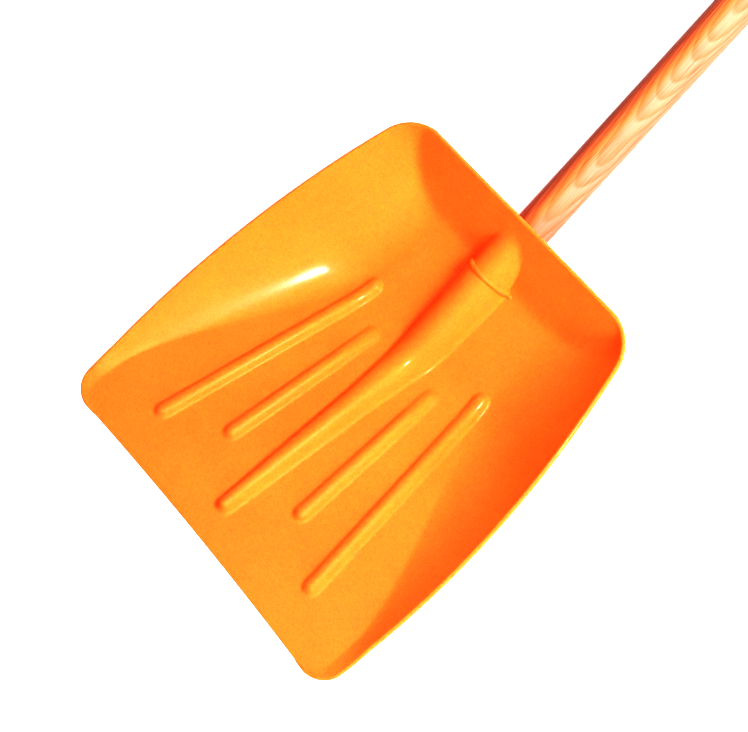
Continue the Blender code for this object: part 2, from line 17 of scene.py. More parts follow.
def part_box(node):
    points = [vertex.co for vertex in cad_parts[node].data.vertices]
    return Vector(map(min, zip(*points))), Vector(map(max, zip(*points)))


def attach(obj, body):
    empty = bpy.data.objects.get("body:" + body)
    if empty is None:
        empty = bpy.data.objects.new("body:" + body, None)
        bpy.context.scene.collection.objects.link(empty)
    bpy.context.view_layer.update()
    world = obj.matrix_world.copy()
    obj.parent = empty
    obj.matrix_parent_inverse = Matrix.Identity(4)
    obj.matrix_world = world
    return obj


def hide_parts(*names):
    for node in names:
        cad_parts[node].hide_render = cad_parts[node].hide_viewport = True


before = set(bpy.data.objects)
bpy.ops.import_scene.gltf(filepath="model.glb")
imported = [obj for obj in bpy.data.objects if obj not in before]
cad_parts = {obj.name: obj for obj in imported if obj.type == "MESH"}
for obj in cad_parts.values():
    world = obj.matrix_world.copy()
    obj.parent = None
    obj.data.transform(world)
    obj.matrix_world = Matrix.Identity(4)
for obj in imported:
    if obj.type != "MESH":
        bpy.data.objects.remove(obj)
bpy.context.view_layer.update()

MM = 0.001
BODY = "root"

# ---------------------------------------------------------------- the frames that pieces are built in
SHAFT_LOW, SHAFT_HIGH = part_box("shaft")
SHAFT_RADIUS = (SHAFT_HIGH.x - SHAFT_LOW.x) / 2
SHAFT_FRONT = -137 * MM
SHAFT_REAR = SHAFT_FRONT + SHAFT_HIGH.y - SHAFT_LOW.y
AXIS_HEIGHT = (SHAFT_LOW.z + SHAFT_HIGH.z) / 2
SHAFT_FRAME = Matrix.Translation((0, SHAFT_LOW.y - SHAFT_FRONT, AXIS_HEIGHT))

BLADE_LENGTH = 371.7 * MM
AXIS_OVER_FLOOR = 55.2 * MM
LIFT = math.radians(25.8)
BLADE_FRAME = (
    SHAFT_FRAME
    @ Matrix.Rotation(-LIFT, 4, "X")
    @ Matrix.Translation((0, -BLADE_LENGTH, -AXIS_OVER_FLOOR))
)
BAR_AT = 710 * MM


# ---------------------------------------------------------------- mesh helpers
def link_object(name, data):
    made = bpy.data.objects.new(name, data)
    bpy.context.scene.collection.objects.link(made)
    return made


def mesh_from(bm, name):
    mesh = bpy.data.meshes.new(name)
    bm.to_mesh(mesh)
    bm.free()
    return mesh


def mesh_object(name, verts, faces, place=SHAFT_FRAME):
    mesh = bpy.data.meshes.new(name)
    mesh.from_pydata([tuple(v) for v in verts], [], faces)
    mesh.transform(place)
    return link_object(name, mesh)


def mend(mesh, merge=0.0):
    """Turns all faces outward, once points closer together than merge are joined."""
    bm = bmesh.new()
    bm.from_mesh(mesh)
    if merge:
        bmesh.ops.remove_doubles(bm, verts=bm.verts, dist=merge)
    bmesh.ops.recalc_face_normals(bm, faces=bm.faces)
    bm.to_mesh(mesh)
    bm.free()


def smooth(obj, angle=40):
    obj.data.shade_smooth()
    obj.data.set_sharp_from_angle(angle=math.radians(angle))
    return obj


TURNED_PLACES = {
    "Y": SHAFT_FRAME @ Matrix.Rotation(-math.pi / 2, 4, "X"),
    "Z": SHAFT_FRAME,
    "bar": SHAFT_FRAME @ Matrix.Translation((0, BAR_AT, 0)) @ Matrix.Rotation(math.pi / 2, 4, "Y"),
}


def turned(name, profile, line="Y", steps=96):
    """A solid of revolution about the shaft frame's Y or Z, or about the hand bar's line, which runs
    along X. The profile is (radius, distance along the line)."""
    verts, faces, rings = [], [], []
    for radius, distance in profile:
        if radius < 1e-7:
            rings.append([len(verts)] * steps)
            verts.append((0, 0, distance))
            continue
        rings.append(list(range(len(verts), len(verts) + steps)))
        for i in range(steps):
            a = 2 * math.pi * i / steps
            verts.append((radius * math.cos(a), radius * math.sin(a), distance))
    for low, high in zip(rings, rings[1:]):
        for i in range(steps):
            j = (i + 1) % steps
            corners = [low[i], low[j], high[j], high[i]]
            face = [v for k, v in enumerate(corners) if v not in corners[:k]]
            if len(face) > 2:
                faces.append(face)
    made = mesh_object(name, verts, faces, TURNED_PLACES[line])
    mend(made.data)
    return smooth(made)


def arc(centre, radius, start, end, steps):
    """Points of (radius, distance) on an arc. Its angles are in degrees from the radius's direction."""
    points = []
    for i in range(steps + 1):
        a = math.radians(start + (end - start) * i / steps)
        points.append((centre[0] + radius * math.cos(a), centre[1] + radius * math.sin(a)))
    return points


def near_end(radius, at, rounding, steps=4, until=0):
    """The start of a turned profile: a flat face with a rounded edge."""
    return [(0, at)] + arc((radius - rounding, at + rounding), rounding, -90, until, steps)


def far_end(radius, at, rounding, steps=4, since=0):
    """The end of a turned profile: a rounded edge and a flat face."""
    return arc((radius - rounding, at - rounding), rounding, since, 90, steps) + [(0, at)]


def rounded_box(name, low, high, edge):
    """A box in the shaft frame with rounded edges."""
    bm = bmesh.new()
    bmesh.ops.create_cube(bm, size=1.0)
    for vert in bm.verts:
        vert.co = Vector([low[i] + (high[i] - low[i]) * (vert.co[i] + 0.5) for i in range(3)])
    bmesh.ops.bevel(bm, geom=list(bm.edges), offset=edge, segments=5, profile=0.5, affect="EDGES")
    mesh = mesh_from(bm, name)
    mesh.transform(SHAFT_FRAME)
    return link_object(name, mesh)


def solid_from(curve, place):
    """Turns a curve into a closed mesh object."""
    drawn = link_object(curve.name, curve)
    bpy.context.view_layer.update()
    graph = bpy.context.evaluated_depsgraph_get()
    mesh = bpy.data.meshes.new_from_object(drawn.evaluated_get(graph))
    name = drawn.name
    bpy.data.objects.remove(drawn)
    mend(mesh, merge=0.01 * MM)
    mesh.transform(place)
    return link_object(name, mesh)


def combine(target, operation, others):
    """Joins or cuts closed meshes for good, and removes the others."""
    for other in others:
        step = target.modifiers.new("combine", "BOOLEAN")
        step.operation = operation
        step.object = other
        step.solver = "MANIFOLD"
    bpy.context.view_layer.update()
    graph = bpy.context.evaluated_depsgraph_get()
    result = bpy.data.meshes.new_from_object(target.evaluated_get(graph))
    target.modifiers.clear()
    target.data = result
    for other in others:
        bpy.data.objects.remove(other)
    return target


# ---------------------------------------------------------------- the scoop's form
FRONT_WIDTH, MIDDLE_WIDTH, REAR_WIDTH = 350 * MM, 356 * MM, 281 * MM
DEPTH = 88.6 * MM
RIM_RISE = 1.18  # the power of the distance from the front that the rim rises with
WALL = 3 * MM
FRONT_WALL_SHARE, WALL_FULL_AT = 0.55, 30 * MM
FRONT_CORNER, REAR_CORNER = 20 * MM, 24.8 * MM
FRONT_SETBACK, SETBACK_FADES_BY = 3 * MM, 100 * MM  # the front edge is hollow in plan
LIP, LIP_STARTS, LIP_GROWS_OVER = 4 * MM, 12 * MM, 40 * MM
REAR_EDGE = BLADE_LENGTH - LIP
FLOOR_HALF_FRONT, FLOOR_HALF_REAR, FLOOR_NARROWS_BY = 170 * MM, 71 * MM, 317.5 * MM
SIDE_LEAST = 12 * MM  # the least width of a side wall in plan
SIDE_CURL, SIDE_CURL_GROWTH = 1.12, 0.95  # the power that a side wall's section rises with
BEND_AT, BEND_BLEND, REAR_SLOPE = 248.5 * MM, 18 * MM, 0.389
REAR_WALL_FOOT, REAR_WALL_BLEND = 316.5 * MM, 7 * MM
BEVEL_LENGTH, BEVEL_DROP = 22 * MM, 1.2 * MM

OUTER_RIB = ((104 * MM, 46.5 * MM), (72 * MM, 256.5 * MM))
INNER_RIB = ((48.7 * MM, 80.5 * MM), (39.5 * MM, 227.5 * MM))
RIBS = ((*OUTER_RIB, 0.85), (*INNER_RIB, 0.5))  # with the share of its height that its rear end keeps
RIB_FADES_FROM = 0.75
# The radius of the back, the height and the fillet at the foot, outside and in the hollow below.
RIB_FORM = (8 * MM, 5.2 * MM, 3.5 * MM)
RIB_HOLLOW = (RIB_FORM[0] - 2.6 * MM, RIB_FORM[1] - 0.6 * MM, 2.5 * MM)
SPINE_HOLLOW = (6.5 * MM, 7.5 * MM, 3 * MM)

SPINE_FRONT, SPINE_MEETS_TUBE = 35 * MM, 237.5 * MM
SPINE_HOLLOW_END = SPINE_MEETS_TUBE - 45 * MM
SPINE_RADIUS, SPINE_WIDENS = 6.5 * MM, 0.043
SPINE_HEIGHT, SPINE_RISES = 7.8 * MM, 0.020
SPINE_FILLET, SPINE_BLEND, SPINE_WALL_BLEND = 5 * MM, 5 * MM, 3 * MM
# How far before and past their meeting the spine widens to the tube, and tilts to lie along it.
WIDENS_BEFORE, TILTS_BEFORE, TUBE_REACHED = 60 * MM, 20 * MM, 20 * MM
TUBE_RADIUS = SHAFT_RADIUS + 3.7 * MM
TUBE_TIP_RADIUS = 19.2 * MM
SHAFT_TIP_RADIUS = 15.5 * MM
TAPER_LENGTH = 115 * MM
TAPER_END = SHAFT_FRONT + TAPER_LENGTH
GAP = 0.3 * MM
SOCKET_MOUTH = 5 * MM


def softer_of(a, b, blend):
    """The larger of two heights, with a rounded change from one to the other."""
    return (a + b + np.sqrt((a - b) ** 2 + blend**2)) / 2


def ease(low, high, value):
    t = np.clip((value - low) / (high - low), 0.0, 1.0)
    return t * t * (3 - 2 * t)


def half_width(y):
    t = y / BLADE_LENGTH
    front, middle, rear = FRONT_WIDTH / 2, MIDDLE_WIDTH / 2, REAR_WIDTH / 2
    return front + t * (4 * middle - 3 * front - rear) + 2 * t * t * (front + rear - 2 * middle)


def lip_share(y):
    return np.clip((y - LIP_STARTS) / LIP_GROWS_OVER, 0.0, 1.0)


def wall_edge(y):
    """Half the width between the tops of the side walls, with both corners rounded in plan."""
    edge = half_width(y) - LIP * lip_share(y)
    corners = ((FRONT_CORNER, FRONT_CORNER - y), (REAR_CORNER, y - (REAR_EDGE - REAR_CORNER)))
    for radius, into in corners:
        into = np.clip(into, 0.0, radius)
        edge = edge - (radius - np.sqrt(radius**2 - into**2))
    return edge


def floor_height(y):
    past = y - BEND_AT
    bending = np.clip(past + BEND_BLEND, 0.0, None) ** 2 / (4 * BEND_BLEND)
    rise = np.where(past > BEND_BLEND, past, bending)
    return REAR_SLOPE * rise - BEVEL_DROP * np.clip(1 - y / BEVEL_LENGTH, 0.0, None)


def rear_wall_height(y):
    return DEPTH * (y - REAR_WALL_FOOT) / (REAR_EDGE - REAR_WALL_FOOT)


def base_height(x, y):
    """The scoop's inner surface without its ribs and socket."""
    edge = wall_edge(y)
    narrowing = np.cos(math.pi / 2 * np.clip(y / FLOOR_NARROWS_BY, 0.0, 1.0)) ** 2
    flat = FLOOR_HALF_REAR + (FLOOR_HALF_FRONT - FLOOR_HALF_REAR) * narrowing
    flat = np.minimum(flat, edge - SIDE_LEAST)
    side = np.clip((np.abs(x) - flat) / (edge - flat), 0.0, 1.0)
    share = y / BLADE_LENGTH
    floor = floor_height(y)
    rim = DEPTH * share**RIM_RISE
    trough = floor + (rim - floor) * side ** (SIDE_CURL + SIDE_CURL_GROWTH * share)
    return softer_of(trough, rear_wall_height(y), REAR_WALL_BLEND * np.sqrt(1 - side))


def ridge_height(away, radius, height, fillet):
    """A ridge's height over the floor at a distance from its line: a round back and a fillet."""
    centre = height - radius
    reach = np.sqrt(np.clip((radius + fillet) ** 2 - (fillet - centre) ** 2, 0.0, None))
    turn = radius * reach / (radius + fillet)
    back = centre + np.sqrt(np.clip(radius**2 - away**2, 0.0, None))
    foot = fillet - np.sqrt(np.clip(fillet**2 - (reach - away) ** 2, 0.0, None))
    return np.where(away < turn, back, np.where(away < reach, foot, 0.0))


def away_from_line(x, y, start, end):
    """Distance in plan from the line between two points, and how far along it the nearest point is."""
    run = np.array(end) - np.array(start)
    t = np.clip(((x - start[0]) * run[0] + (y - start[1]) * run[1]) / (run @ run), 0.0, 1.0)
    return np.hypot(x - start[0] - t * run[0], y - start[1] - t * run[1]), t


def spine_sizes(y):
    """Radius and height over the floor of the spine, which grows into the socket's tube."""
    along = y - SPINE_FRONT
    own_radius = SPINE_RADIUS + along * SPINE_WIDENS
    own_height = SPINE_HEIGHT + along * SPINE_RISES
    behind = (y - BLADE_LENGTH) / math.cos(LIFT)
    taper = np.clip((behind - SHAFT_FRONT) / TAPER_LENGTH, 0.0, 1.0)
    tube_radius = TUBE_TIP_RADIUS + (TUBE_RADIUS - TUBE_TIP_RADIUS) * taper
    axis_over_plane = AXIS_OVER_FLOOR + (y - BLADE_LENGTH) * math.tan(LIFT)
    tube_height = (axis_over_plane - floor_height(y)) * math.cos(LIFT) + tube_radius
    widening = ease(SPINE_MEETS_TUBE - WIDENS_BEFORE, SPINE_MEETS_TUBE + TUBE_REACHED, y)
    radius = own_radius + (tube_radius - own_radius) * widening
    return radius, softer_of(own_height, tube_height, SPINE_BLEND)


def spine_height(x, y):
    away = np.where(y > SPINE_FRONT, np.abs(x), np.hypot(x, y - SPINE_FRONT))
    radius, height = spine_sizes(np.maximum(y, SPINE_FRONT))
    tilting = ease(SPINE_MEETS_TUBE - TILTS_BEFORE, SPINE_MEETS_TUBE + TUBE_REACHED, y)
    stretch = 1 + (1 / math.cos(LIFT) - 1) * tilting
    return stretch * ridge_height(away, radius, height, SPINE_FILLET)


def ribs_height(x, y, form):
    """All four ribs, or the hollows below them. The left ones mirror the right ones."""
    height = np.zeros_like(x)
    for start, end, kept in RIBS:
        away, along = away_from_line(np.abs(x), y, start, end)
        fading = 1 - (1 - kept) * ease(RIB_FADES_FROM, 1.0, along)
        height = np.maximum(height, fading * ridge_height(away, *form))
    return height


def inner_height(x, y):
    """The inner surface with everything that is raised on it."""
    floor_side = base_height(x, y) + ribs_height(x, y, RIB_FORM)
    spine = spine_height(x, y)
    met = softer_of(floor_height(y) + spine, rear_wall_height(y), SPINE_WALL_BLEND)
    return np.where((spine > 0) & (met > floor_side), met, floor_side)


def hollow_height(x, y):
    """How far the ribs and the spine are hollowed from below."""
    away, _ = away_from_line(x, y, (0, SPINE_FRONT), (0, SPINE_HOLLOW_END))
    return np.maximum(ribs_height(x, y, RIB_HOLLOW), ridge_height(away, *SPINE_HOLLOW))


# ---------------------------------------------------------------- the scoop's mesh
ROWS, COLUMNS, CORNER_ROWS = 200, 281, 14
# Points of the rolled lip: millimetres out from the inner surface's edge, and up from it.
LIP_SECTION = [
    (0.5, 0.5),
    (1.3, 0.85),
    (2.3, 0.8),
    (3.3, 0.2),
    (3.9, -1.0),
    (3.85, -2.3),
    (3.2, -2.9),
    (2.5, -2.6),
]
EDGE_BULGE = 0.9 * MM  # where there is no lip yet


def row_positions():
    """Distances of the rows from the front edge, drawn together where the corners turn."""
    turns = np.linspace(0, math.pi / 2, CORNER_ROWS)
    front = FRONT_CORNER * (1 - np.cos(turns))
    rear = REAR_EDGE - REAR_CORNER + REAR_CORNER * np.sin(turns)
    middle = np.linspace(front[-1], rear[0], ROWS - 2 * CORNER_ROWS + 2)
    return np.concatenate([front[:-1], middle, rear[1:]])


def scoop_grid():
    """The inner surface and the underside as two grids of points, row by row from the front."""
    y = np.repeat(row_positions()[:, None], COLUMNS, axis=1)
    share = np.repeat(np.linspace(-1, 1, COLUMNS)[None, :], len(y), axis=0)
    x = share * wall_edge(y)
    shift = FRONT_SETBACK * (1 - share**2) * np.clip(1 - y / SETBACK_FADES_BY, 0.0, None)
    base = np.stack([x, y + shift, base_height(x, y)], axis=2)
    inner = np.stack([x, y + shift, inner_height(x, y)], axis=2)
    normal = np.cross(np.gradient(base, axis=1), np.gradient(base, axis=0))
    normal /= np.linalg.norm(normal, axis=2, keepdims=True)
    thickness = WALL * (FRONT_WALL_SHARE + (1 - FRONT_WALL_SHARE) * ease(0.0, WALL_FULL_AT, y))
    under = base - normal * thickness[:, :, None]
    under[:, :, 2] += hollow_height(x, y)
    return inner, under


def edge_points(start, lower):
    """Loops of points from the inner surface's edge round to the underside's."""
    run = (np.roll(start, -1, axis=0) - np.roll(start, 1, axis=0))[:, :2]
    outward = np.stack([-run[:, 1], run[:, 0]], axis=1)
    outward /= np.linalg.norm(outward, axis=1, keepdims=True)
    upward = np.ones(len(start))
    loops = []
    for number, (out, up) in enumerate(LIP_SECTION, start=1):
        turn = number / (len(LIP_SECTION) + 1)
        bulge = EDGE_BULGE * math.sin(math.pi * turn)
        rolled = start + np.column_stack([outward * out * MM, upward * up * MM])
        plain = start + (lower - start) * turn + np.column_stack([outward * bulge, upward * 0.0])
        loops.append(plain + (rolled - plain) * lip_share(start[:, 1])[:, None])
    return loops


def scoop_shell():
    """Both grids, closed along the rolled lip and the rounded front edge."""
    inner, under = scoop_grid()
    rows, columns = inner.shape[:2]
    below = rows * columns
    faces = []
    for row in range(rows - 1):
        for first in range(row * columns, (row + 1) * columns - 1):
            quad = [first, first + 1, first + 1 + columns, first + columns]
            faces.append(quad)
            faces.append([below + corner for corner in reversed(quad)])

    left = [row * columns for row in range(rows)]
    rear = [(rows - 1) * columns + column for column in range(1, columns - 1)]
    right = [row * columns + columns - 1 for row in reversed(range(rows))]
    front = list(reversed(range(1, columns - 1)))
    ring = left + rear + right + front
    grids = np.concatenate([inner.reshape(-1, 3), under.reshape(-1, 3)])
    between = edge_points(grids[ring], grids[[below + i for i in ring]])
    loops = [ring]
    for number in range(len(between)):
        first = 2 * below + number * len(ring)
        loops.append(list(range(first, first + len(ring))))
    loops.append([below + i for i in ring])
    for upper, under_it in zip(loops, loops[1:]):
        for k in range(len(ring)):
            n = (k + 1) % len(ring)
            faces.append([upper[k], upper[n], under_it[n], under_it[k]])
    made = mesh_object("blade", np.concatenate([grids, *between]), faces, BLADE_FRAME)
    mend(made.data)
    return made


BEAD_AT, BEAD_REACH, BEAD_RADIUS = -46 * MM, 27.5 * MM, 2.9 * MM
BEAD_SINKS = 0.9 * MM
BEAD_STEPS, BEAD_TIP_SHARE = 40, 0.45


def socket_bead():
    """The bead over the tube: a round strip that follows the tube's and the fillet's section, and
    tapers over the quarter of its length at each end."""
    blade_from_shaft = BLADE_FRAME.inverted() @ SHAFT_FRAME
    curve = bpy.data.curves.new("bead", "CURVE")
    curve.dimensions = "3D"
    curve.bevel_depth = BEAD_RADIUS
    curve.bevel_resolution = 5
    curve.use_fill_caps = True
    spline = curve.splines.new("POLY")
    spline.points.add(BEAD_STEPS)
    for i, point in enumerate(spline.points):
        x = -BEAD_REACH * math.cos(math.pi * i / BEAD_STEPS)
        y = (blade_from_shaft @ Vector((0, BEAD_AT, 0))).y
        for _ in range(6):  # moves along the scoop until the point is over its place on the shaft
            z = float(inner_height(np.array([x]), np.array([y]))[0]) - BEAD_SINKS
            local = blade_from_shaft.inverted() @ Vector((x, y, z))
            y += (BEAD_AT - local.y) * math.cos(LIFT)
        point.co = (*(blade_from_shaft.inverted() @ Vector((x, y, z))), 1.0)
        from_end = min(1.0, 4 * min(i, BEAD_STEPS - i) / BEAD_STEPS)
        point.radius = BEAD_TIP_SHARE + (1 - BEAD_TIP_SHARE) * from_end
    return solid_from(curve, SHAFT_FRAME)


# ---------------------------------------------------------------- screws and their holes
SCREW_RADIUS, SCREW_HEAD_RADIUS, SCREW_HEAD_HEIGHT = 2.25 * MM, 4.3 * MM, 2.3 * MM
SCREW_LENGTH, SCREW_POINT = 30 * MM, 6 * MM
THREAD_DEPTH, THREAD_PITCH, THREAD_TURNS = 0.55 * MM, 2.0 * MM, 10
SLOT_HALF_WIDTH, SLOT_DEPTH, SLOT_EDGE = 0.6 * MM, 1.1 * MM, 0.12 * MM
SLOT_TURN = 17  # radians for each metre along the shaft, so that the slots don't line up
SCREWS = {  # place along the shaft, and the side that it is driven in from
    "socket_screw_front": (-112 * MM, -1),
    "socket_screw_rear": (-30 * MM, -1),
    "yoke_screw_top": (590 * MM, 1),
    "yoke_screw_bottom": (612 * MM, -1),
}


def drive_in(obj, name):
    """Moves a screw, or its hole, from the shaft frame's origin to its place."""
    at, side = SCREWS[name]
    turn = Matrix.Identity(4) if side > 0 else Matrix.Rotation(math.pi, 4, "X")
    height = side * (AXIS_HEIGHT - SCREW_HEAD_HEIGHT - GAP)
    place = Matrix.Translation((0, at, height)) @ Matrix.Rotation(SLOT_TURN * at, 4, "Z") @ turn
    obj.data.transform(SHAFT_FRAME.inverted())
    obj.data.transform(SHAFT_FRAME @ place)
    return obj


def screw_holes(*names):
    """The countersunk holes' shapes, which reach well past the surface."""
    head, outside = SCREW_HEAD_RADIUS + GAP, 20 * MM
    profile = [
        (0, -SCREW_LENGTH - GAP),
        (SCREW_RADIUS + GAP, -SCREW_LENGTH + SCREW_POINT),
        (SCREW_RADIUS + GAP, 0),
        (head, SCREW_HEAD_HEIGHT - 0.3 * MM),
        (head, outside),
        (0, outside),
    ]
    return [drive_in(turned("hole", profile, line="Z", steps=48), name) for name in names]


def make_screw(name):
    root, bottom = SCREW_RADIUS - THREAD_DEPTH, -SCREW_LENGTH + SCREW_POINT
    profile = [(0, -SCREW_LENGTH)]
    for i in range(THREAD_TURNS):
        low = bottom + i * THREAD_PITCH
        crest, foot = low + 0.45 * THREAD_PITCH, low + 0.6 * THREAD_PITCH
        profile += [(root, low), (SCREW_RADIUS, crest), (root, foot)]
    head, top = SCREW_HEAD_RADIUS, SCREW_HEAD_HEIGHT
    profile += [
        (SCREW_RADIUS, bottom + THREAD_TURNS * THREAD_PITCH),
        (SCREW_RADIUS, 0),
        (head, top - 0.35 * MM),
        (head - 0.08 * MM, top - 0.1 * MM),
        (head - 0.3 * MM, top),
        (0, top),
    ]
    screw = turned(name, profile, line="Z", steps=64)
    slot_low = (-2 * head, -SLOT_HALF_WIDTH, top - SLOT_DEPTH)
    slot_high = (2 * head, SLOT_HALF_WIDTH, 2 * top)
    combine(screw, "DIFFERENCE", [rounded_box("slot", slot_low, slot_high, SLOT_EDGE)])
    return smooth(drive_in(screw, name), 35)


# ---------------------------------------------------------------- the pieces
NOSE_LENGTH = 20 * MM
MOUTH_ROUNDING, MOUTH_FLARE = 1.2 * MM, 1 * MM
SHOE_LOW = (-16 * MM, -141 * MM, -AXIS_HEIGHT)
SHOE_HIGH = (16 * MM, -4 * MM, -8 * MM)
SHOE_EDGE = 2 * MM
SHAFT_CHAMFER = 1.5 * MM

YOKE_MOUTH, HUB_LENGTH, HUB_ROUNDING = 566 * MM, 78 * MM, 1.5 * MM
DOME_LENGTH, DOME_OVER_HUB = 23 * MM, 7 * MM
YOKE_FLARE = 0.9 * MM
EYE_RADIUS, EYE_OUTER, EYE_ROUNDING = 15 * MM, 60 * MM, 1.6 * MM
ARM_HALF_THICKNESS, ARM_ROUNDING = 11.5 * MM, 4 * MM
BAR_HALF, BAR_END_RADIUS, BAR_SWELL, BAR_ROUNDING = 46 * MM, 13.5 * MM, 2 * MM, 1.4 * MM
ROD_RADIUS, ROD_HEAD_RADIUS, ROD_HEAD_HEIGHT = 3 * MM, 5.5 * MM, 2.5 * MM
WASHER_RADIUS, WASHER_THICKNESS, WASHER_ROUNDING = 8.5 * MM, 1.5 * MM, 0.3 * MM
CUTTER_OVERRUN = 20 * MM


def make_blade():
    blade = scoop_shell()
    nose = arc((0, SHAFT_FRONT), TUBE_TIP_RADIUS, -90, 0, 10)
    stretch = NOSE_LENGTH / TUBE_TIP_RADIUS
    nose = [(radius, SHAFT_FRONT + (at - SHAFT_FRONT) * stretch) for radius, at in nose]
    nose[0] = (0, nose[0][1])
    mouth = far_end(TUBE_RADIUS, SOCKET_MOUTH, MOUTH_ROUNDING, steps=5)
    tube = turned("tube", nose + [(TUBE_RADIUS, TAPER_END)] + mouth)
    shoe = rounded_box("shoe", SHOE_LOW, SHOE_HIGH, SHOE_EDGE)
    combine(blade, "UNION", [tube, shoe, socket_bead()])
    flared, past = SHAFT_RADIUS + GAP + MOUTH_FLARE, SOCKET_MOUTH + 30 * MM
    bore_profile = [
        (0, SHAFT_FRONT - GAP),
        (SHAFT_TIP_RADIUS + GAP, SHAFT_FRONT - GAP),
        (SHAFT_RADIUS + GAP, TAPER_END),
        (SHAFT_RADIUS + GAP, SOCKET_MOUTH - MOUTH_FLARE),
        (flared, SOCKET_MOUTH + 0.01 * MM),
        (flared, past),
        (0, past),
    ]
    holes = screw_holes("socket_screw_front", "socket_screw_rear")
    combine(blade, "DIFFERENCE", [turned("bore", bore_profile)] + holes)
    return smooth(blade, 48)


def make_shaft():
    profile = [
        (0, SHAFT_FRONT),
        (SHAFT_TIP_RADIUS - SHAFT_CHAMFER, SHAFT_FRONT),
        (SHAFT_TIP_RADIUS, SHAFT_FRONT + SHAFT_CHAMFER),
    ]
    run = np.linspace(TAPER_END, SHAFT_REAR - SHAFT_CHAMFER, 60)
    profile += [(SHAFT_RADIUS, float(at)) for at in run]
    shaft = turned("shaft", profile + far_end(SHAFT_RADIUS, SHAFT_REAR, SHAFT_CHAMFER))
    return smooth(combine(shaft, "DIFFERENCE", screw_holes(*SCREWS)))


def yoke_plate():
    """The yoke's two arms: a filled flat outline with rounded edges."""
    bar_y = BAR_AT - YOKE_MOUTH
    right = [
        (14.0 * MM, 48 * MM),
        (16.0 * MM, 70 * MM),
        (35.5 * MM, 97 * MM),
        (51.0 * MM, 118 * MM),
        (55.0 * MM, bar_y - 6 * MM),
        (53.0 * MM, bar_y + 6 * MM),
        (51.0 * MM, bar_y - 4 * MM),
        (49.0 * MM, 126 * MM),
        (38.0 * MM, 106 * MM),
        (19.0 * MM, 90.5 * MM),
        (0.0, 86 * MM),
    ]
    outline = right + [(-x, y) for x, y in reversed(right[:-1])]
    curve = bpy.data.curves.new("grip_yoke", "CURVE")
    curve.dimensions = "2D"
    curve.fill_mode = "BOTH"
    curve.extrude = ARM_HALF_THICKNESS - ARM_ROUNDING
    curve.bevel_depth = ARM_ROUNDING
    curve.bevel_resolution = 5
    curve.resolution_u = 12
    spline = curve.splines.new("BEZIER")
    spline.bezier_points.add(len(outline) - 1)
    for point, (x, y) in zip(spline.bezier_points, outline):
        point.co = (x, y, 0)
        point.handle_left_type = point.handle_right_type = "AUTO"
    spline.use_cyclic_u = True
    return solid_from(curve, SHAFT_FRAME @ Matrix.Translation((0, YOKE_MOUTH, 0)))


def rod_hole(half_length):
    """The shape of the rod's hole through a piece that is as long as this on each side."""
    radius, past = ROD_RADIUS + GAP, half_length + CUTTER_OVERRUN
    return turned("rod_hole", [(0, -past), (radius, -past), (radius, past), (0, past)], line="bar")


def make_yoke():
    yoke = yoke_plate()
    hub_end = YOKE_MOUTH + HUB_LENGTH
    dome_from = hub_end + DOME_OVER_HUB - DOME_LENGTH
    hub_profile = near_end(AXIS_HEIGHT, YOKE_MOUTH, HUB_ROUNDING, steps=5)
    for i in range(12):
        a = math.pi / 2 * i / 12
        hub_profile.append((AXIS_HEIGHT * math.cos(a), dome_from + DOME_LENGTH * math.sin(a)))
    solids = [turned("hub", hub_profile + [(0, hub_end + DOME_OVER_HUB)])]
    for side in (-1, 1):
        low, high = sorted((side * (BAR_HALF + GAP), side * EYE_OUTER))
        eye = near_end(EYE_RADIUS, low, EYE_ROUNDING) + far_end(EYE_RADIUS, high, EYE_ROUNDING)
        solids.append(turned("eye", eye, line="bar"))
    combine(yoke, "UNION", solids)
    bore_radius, past = SHAFT_RADIUS + GAP, YOKE_MOUTH - CUTTER_OVERRUN
    bore_profile = [
        (0, past),
        (bore_radius + YOKE_FLARE, past),
        (bore_radius + YOKE_FLARE, YOKE_MOUTH),
        (bore_radius, YOKE_MOUTH + YOKE_FLARE),
        (bore_radius, SHAFT_REAR + GAP),
        (0, SHAFT_REAR + GAP),
    ]
    bores = [turned("bore", bore_profile), rod_hole(EYE_OUTER)]
    combine(yoke, "DIFFERENCE", screw_holes("yoke_screw_top", "yoke_screw_bottom") + bores)
    return smooth(yoke, 35)


def make_bar():
    profile = near_end(BAR_END_RADIUS, -BAR_HALF, BAR_ROUNDING, until=-10)
    for i in range(1, 24):
        share = -1 + 2 * i / 24
        profile.append((BAR_END_RADIUS + BAR_SWELL * (1 - share**2), share * BAR_HALF))
    profile += far_end(BAR_END_RADIUS, BAR_HALF, BAR_ROUNDING, since=10)
    bar = turned("grip_bar", profile, line="bar")
    return smooth(combine(bar, "DIFFERENCE", [rod_hole(BAR_HALF)]))


def make_rod():
    seat = EYE_OUTER + 2 * GAP + WASHER_THICKNESS
    head = [(ROD_RADIUS, seat)]
    for i in range(10):
        a = math.pi / 2 * i / 10
        head.append((ROD_HEAD_RADIUS * math.cos(a), seat + ROD_HEAD_HEIGHT * math.sin(a)))
    head.append((0, seat + ROD_HEAD_HEIGHT))
    profile = [(radius, -at) for radius, at in reversed(head)] + head
    return turned("grip_rod", profile, line="bar", steps=64)


def make_washer(name, side):
    inner, outer, rounding = ROD_RADIUS + GAP, WASHER_RADIUS, WASHER_ROUNDING
    near = EYE_OUTER + GAP
    far = near + WASHER_THICKNESS
    profile = [
        (inner, near),
        (outer - rounding, near),
        (outer, near + rounding),
        (outer, far - rounding),
        (outer - rounding, far),
        (inner, far),
        (inner, near),
    ]
    washer = turned(name, [(radius, side * at) for radius, at in profile], line="bar", steps=64)
    mend(washer.data, merge=0.001 * MM)
    return smooth(washer, 35)


